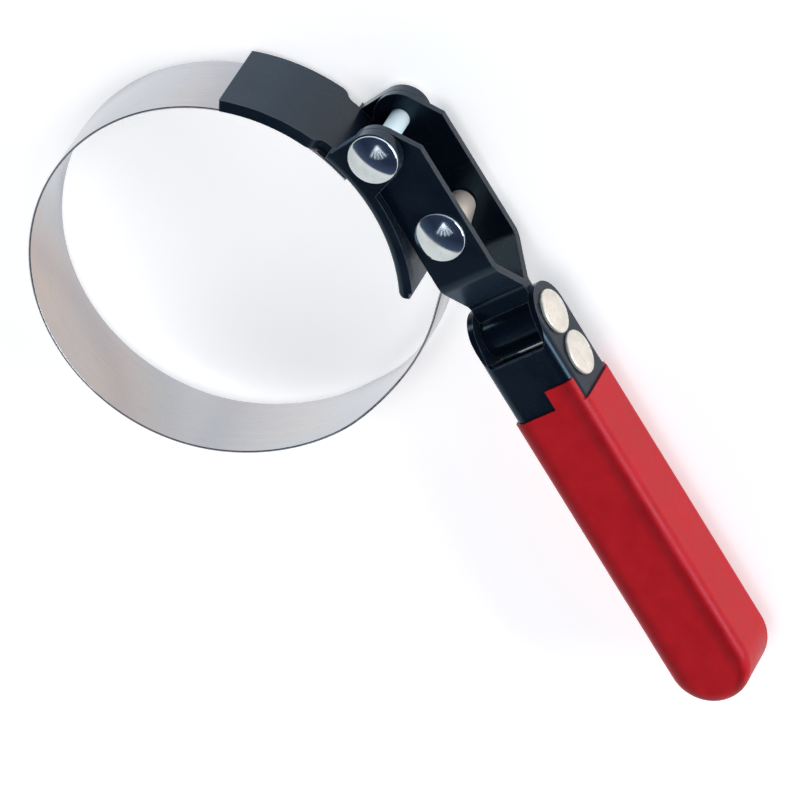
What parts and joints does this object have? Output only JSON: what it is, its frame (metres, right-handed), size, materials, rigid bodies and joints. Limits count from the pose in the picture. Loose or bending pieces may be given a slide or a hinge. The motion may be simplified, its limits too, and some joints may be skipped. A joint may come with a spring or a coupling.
{
  "type": "oil filter wrench",
  "caption": "Steel band wrench for spin-on oil filters: a round band on a black clip, tightened by a pivoting yoke, with a red-gripped handle that swivels.",
  "frame": {"origin": "centre of the band's circle, half way along the band's width", "axes": "+Z along the filter's axis, towards the closed front of the handle channel; +X towards the handle's end; +Y from the filter towards the yoke"},
  "size_m": [0.1971, 0.1162, 0.0314],
  "materials": {
    "stainless_band": "satin rolled strip",
    "black_paint": "gloss black",
    "zinc_rivet": "bright zinc plate",
    "red_vinyl": "satin"
  },
  "bodies": {
    "loop": {"strap_band": "stainless_band", "clip_saddle": "black_paint", "pivot_rivet": "zinc_rivet"},
    "yoke_arm": {"yoke": "black_paint", "strap_eye": "stainless_band", "anchor_rivet": "zinc_rivet"},
    "handle": {"handle_channel": "black_paint", "grip_sleeve": "red_vinyl", "swivel_rivet": "zinc_rivet", "tie_rivet": "zinc_rivet", "tie_spacer": "black_paint"}
  },
  "joints": [
    {"name": "tighten_pivot", "type": "hinge", "parent": "loop", "child": "yoke_arm", "pos_m": [-0.0119, 0.0553, 0], "axis": [0, 0, 1], "range_deg": [0, 25]},
    {"name": "handle_swivel", "type": "hinge", "parent": "yoke_arm", "child": "handle", "pos_m": [0.0452, 0.0579, 0], "axis": [0, 1, 0], "range_deg": [-90, 90]}
  ]
}
